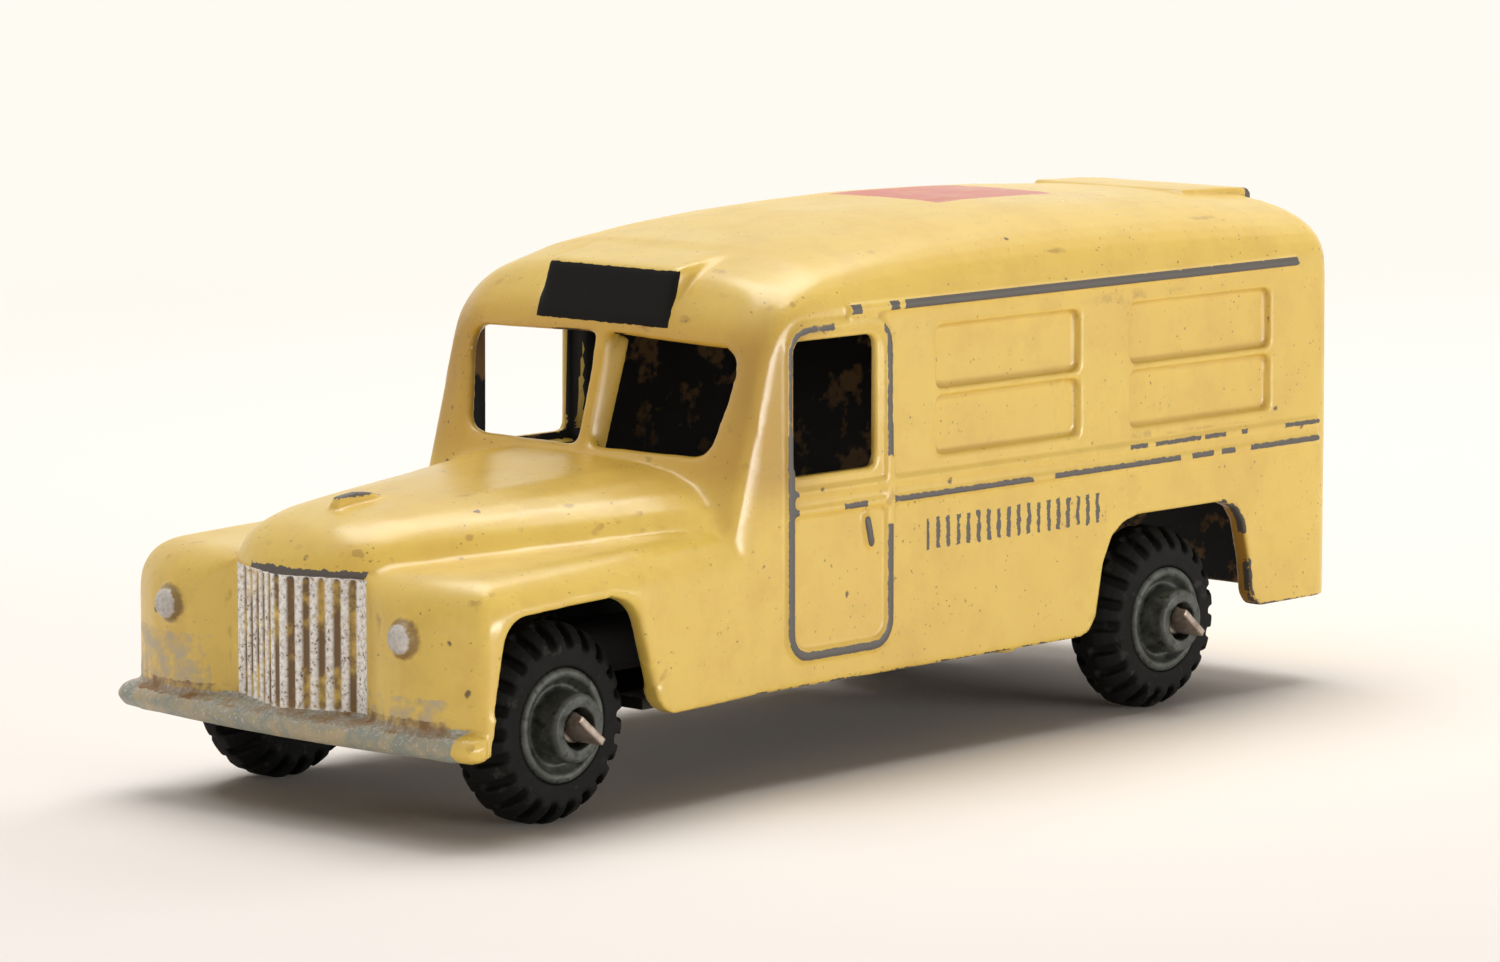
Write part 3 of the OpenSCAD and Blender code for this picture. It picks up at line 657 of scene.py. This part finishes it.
def inner_faces(obj):
    """A tree of the bare casting's faces, and for each face whether it looks into the hollow."""
    mesh = obj.data
    tree = BVHTree.FromPolygons([v.co for v in mesh.vertices], [p.vertices for p in mesh.polygons])
    turns = []
    for i in range(RAYS):
        angle = FIRST_TURN + i * GOLDEN_TURN
        turns.append((math.cos(angle), math.sin(angle), (i + 0.5) / RAYS))
    foot = HOLLOW_FOOT_Z * MM
    rear, front = (v * MM for v in HOLLOW_X)
    flags = []
    for face in mesh.polygons:
        normal = face.normal
        across = normal.orthogonal().normalized()
        up = normal.cross(across)
        start = face.center + normal * RAY_LIFT
        hits = 0
        for c, s, h in turns:
            flat = math.sqrt(1 - h * h)
            ray = normal * h + (across * c + up * s) * flat
            if tree.ray_cast(start, ray, RAY_LENGTH)[0] is not None:
                hits += 1
            elif ray.z < -0.03:
                end = start + ray * ((foot - start.z) / ray.z)
                hits += start.z > foot and abs(end.y) < HOLLOW_Y * MM and rear < end.x < front
        x, y, z = face.center / MM
        by_bar = abs(y) < 2.2 and x > 13.3 and 20.4 < z < 32
        flags.append(hits >= INNER_HITS and x < HOLLOW_FRONT and not by_bar)
    return tree, flags


def dress(obj, node, body, slot, *materials):
    """Puts materials on a finished piece and ties it to the frame."""
    obj.data.materials.clear()
    for material in materials:
        obj.data.materials.append(material)
    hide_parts(node)
    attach(obj, body)


class AMBULANCE_OT_casting(bpy.types.Operator):
    """Model the body casting as enamel makes it: every edge soft, black inside"""

    bl_idname = "ambulance.casting"
    bl_label = "Body casting"

    def execute(self, context):
        sizes, colours = context.scene.ambulance_sizes, context.scene.ambulance_colours
        obj = copied_node("body_casting", "enamelled_casting")
        grain = sizes.enamel_soft
        for middle in (-LAMP_Y, LAMP_Y):
            choose(obj, lambda x, y, z: x > 45.0 and math.hypot(y - middle, z - LAMP_Z) < 1.55)
            centre = (LAMP_X * MM, middle * MM, LAMP_Z * MM)
            bpy.ops.transform.resize(value=LAMP_SCALE, center_override=centre)
        choose(obj, ornament)
        bpy.ops.transform.resize(value=ORNAMENT_SCALE, center_override=[v * MM for v in ORNAMENT_PLACE])
        choose(obj, bar)
        bpy.ops.transform.resize(value=(1.0, BAR_NARROW, 1.0), center_override=(0.0, 0.0, 0.0))
        choose(obj, bar_foot)
        bpy.ops.transform.translate(value=(BAR_FOOT_OUT * MM, 0.0, 0.0))
        bpy.ops.mesh.select_all(action="DESELECT")
        bpy.ops.mesh.primitive_cube_add(
            size=MM, location=[v * MM for v in BAR_PLACE], scale=BAR_SIZE, rotation=(0.0, -BAR_LEAN, 0.0))
        bpy.ops.object.mode_set(mode="OBJECT")
        near, flags = inner_faces(obj)
        guide = obj.copy()
        guide.data = obj.data.copy()
        context.scene.collection.objects.link(guide)
        softened(obj, grain, 4, sizes.casting_faces, guide, ((nose, 18), (brow, 10), (lamps, 12)))
        bpy.data.objects.remove(guide)
        dress(obj, "body_casting", "body", "body_enamel", worn_enamel(colours), hollow_black(colours))
        inner = []
        for face in obj.data.polygons:
            _, normal, index, _ = near.find_nearest(face.center)
            inner.append(int(flags[index] and normal.dot(face.normal) > 0))
        obj.data.polygons.foreach_set("material_index", inner)
        obj.data.update()
        return {"FINISHED"}


class AMBULANCE_OT_base_plate(bpy.types.Operator):
    """Give the pressed base plate its black enamel"""

    bl_idname = "ambulance.base_plate"
    bl_label = "Base plate"

    def execute(self, context):
        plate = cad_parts["base_plate"]
        plate.data.materials.clear()
        plate.data.materials.append(plate_enamel(context.scene.ambulance_colours))
        return {"FINISHED"}


class AMBULANCE_OT_axles(bpy.types.Operator):
    """Model the two axle wires with their flattened ends"""

    bl_idname = "ambulance.axles"
    bl_label = "Axle wires"

    def execute(self, context):
        sizes, steel = context.scene.ambulance_sizes, drawn_steel(context.scene.ambulance_colours)
        for end in ("front", "rear"):
            obj = copied_node(end + "_axle", end + "_axle_wire")
            softened(obj, sizes.axle_soft, 2, AXLE_FACES)
            dress(obj, end + "_axle", end + "_axle_body", "axle_steel", steel)
        return {"FINISHED"}


class AMBULANCE_OT_hubs(bpy.types.Operator):
    """Model the four cast hubs, a little lumpy as cast metal is"""

    bl_idname = "ambulance.hubs"
    bl_label = "Hubs"

    def execute(self, context):
        sizes, metal = context.scene.ambulance_sizes, cast_hub_metal(context.scene.ambulance_colours)
        for wheel in WHEELS:
            obj = copied_node(wheel + "_hub", wheel + "_cast_hub")
            softened(obj, sizes.wheel_soft, 3, HUB_FACES)
            dress(obj, wheel + "_hub", wheel + "_wheel", "hub_grey", metal)
        return {"FINISHED"}


class AMBULANCE_OT_tyres(bpy.types.Operator):
    """Model the four rubber tyres with rounded tread blocks"""

    bl_idname = "ambulance.tyres"
    bl_label = "Tyres"

    def execute(self, context):
        sizes, rubber = context.scene.ambulance_sizes, moulded_rubber(context.scene.ambulance_colours)
        for wheel in WHEELS:
            obj = copied_node(wheel + "_tyre", wheel + "_rubber_tyre")
            softened(obj, sizes.wheel_soft, 3, TYRE_FACES)
            dress(obj, wheel + "_tyre", wheel + "_wheel", "tyre_black", rubber)
        return {"FINISHED"}


class AMBULANCE_OT_stage(bpy.types.Operator):
    """Lay the pale floor, light it softly and place the camera"""

    bl_idname = "ambulance.stage"
    bl_label = "Stage"

    def execute(self, context):
        scene, colours = context.scene, context.scene.ambulance_colours
        scene.view_settings.view_transform = "Standard"
        bpy.ops.object.select_all(action="DESELECT")
        bpy.ops.mesh.primitive_plane_add(size=scene.ambulance_sizes.floor_size, location=(0, 0, 0))
        floor = context.object
        floor.name = "paper_floor"
        material, tree, shader = new_material("matt_paper")
        place = add(tree, "TexCoord").outputs["Object"]
        away = add(tree, "VectorMath", {0: place}, operation="LENGTH").outputs["Value"]
        fade = {0: away, 1: PAPER_FADE[0], 2: PAPER_FADE[1]}
        far = add(tree, "MapRange", fade, interpolation_type="SMOOTHSTEP").outputs[0]
        shader.inputs["Base Color"].default_value = colours.paper
        shader.inputs["Roughness"].default_value = 0.9
        shader.inputs["Specular IOR Level"].default_value = 0.1
        plain = add(tree, "Emission", {"Color": colours.backdrop, "Strength": 1.0}).outputs[0]
        veil = fold(tree, "MULTIPLY", [far, seen(tree)])
        mix = add(tree, "MixShader", {0: veil, 1: shader.outputs[0], 2: plain}).outputs[0]
        tree.links.new(mix, tree.nodes["Material Output"].inputs["Surface"])
        floor.data.materials.append(material)

        world = bpy.data.worlds.new("studio")
        scene.world = world
        world.use_nodes = True
        tree = world.node_tree
        tree.nodes.clear()
        soft = add(tree, "Background", {"Color": colours.room_light, "Strength": ROOM_STRENGTH}).outputs[0]
        white = add(tree, "Background", {"Color": colours.backdrop, "Strength": 1.0}).outputs[0]
        mix = add(tree, "MixShader", {0: seen(tree), 1: soft, 2: white}).outputs[0]
        add(tree, "OutputWorld", {"Surface": mix})

        for name, place, width, height, power, mirrored in LIGHTS:
            bpy.ops.object.light_add(type="AREA", location=place)
            light = context.object
            light.name = name
            light.data.shape = "RECTANGLE"
            light.data.size = width
            light.data.size_y = height
            light.data.energy = power
            light.visible_glossy = mirrored
            towards = Vector(LIGHTS_AIM) - light.location
            light.rotation_euler = towards.to_track_quat("-Z", "Y").to_euler()

        azimuth, elevation = math.radians(CAMERA_AZIMUTH), math.radians(CAMERA_ELEVATION)
        back = Vector((math.sin(azimuth) * math.cos(elevation), -math.cos(azimuth) * math.cos(elevation),
                       math.sin(elevation)))
        bpy.ops.object.camera_add(location=(Vector(CAMERA_TARGET) + back * CAMERA_DISTANCE) * MM)
        camera = context.object
        camera.rotation_euler = (-back).to_track_quat("-Z", "Y").to_euler()
        camera.data.lens = CAMERA_LENS
        camera.data.sensor_width = 36.0
        camera.data.clip_start = 0.01
        scene.camera = camera
        return {"FINISHED"}


class AMBULANCE_PT_panel(bpy.types.Panel):
    """Sizes, colours and pieces of the toy ambulance"""

    bl_idname = "AMBULANCE_PT_panel"
    bl_label = "Toy ambulance"
    bl_space_type = "VIEW_3D"
    bl_region_type = "UI"
    bl_category = "Toy ambulance"

    def draw(self, context):
        for group in (context.scene.ambulance_sizes, context.scene.ambulance_colours):
            for name in group.__annotations__:
                self.layout.prop(group, name)
        for operator in OPERATORS:
            self.layout.operator(operator.bl_idname)


OPERATORS = (AMBULANCE_OT_casting, AMBULANCE_OT_base_plate, AMBULANCE_OT_axles, AMBULANCE_OT_hubs,
             AMBULANCE_OT_tyres, AMBULANCE_OT_stage)
CLASSES = (AmbulanceSizes, AmbulanceColours, *OPERATORS, AMBULANCE_PT_panel)


def register():
    for cls in CLASSES:
        bpy.utils.register_class(cls)
    bpy.types.Scene.ambulance_sizes = bpy.props.PointerProperty(type=AmbulanceSizes)
    bpy.types.Scene.ambulance_colours = bpy.props.PointerProperty(type=AmbulanceColours)


def unregister():
    del bpy.types.Scene.ambulance_colours
    del bpy.types.Scene.ambulance_sizes
    for cls in reversed(CLASSES):
        bpy.utils.unregister_class(cls)


def main():
    register()
    bpy.ops.ambulance.casting()
    bpy.ops.ambulance.base_plate()
    bpy.ops.ambulance.axles()
    bpy.ops.ambulance.hubs()
    bpy.ops.ambulance.tyres()
    bpy.ops.ambulance.stage()


if __name__ == "__main__":
    main()
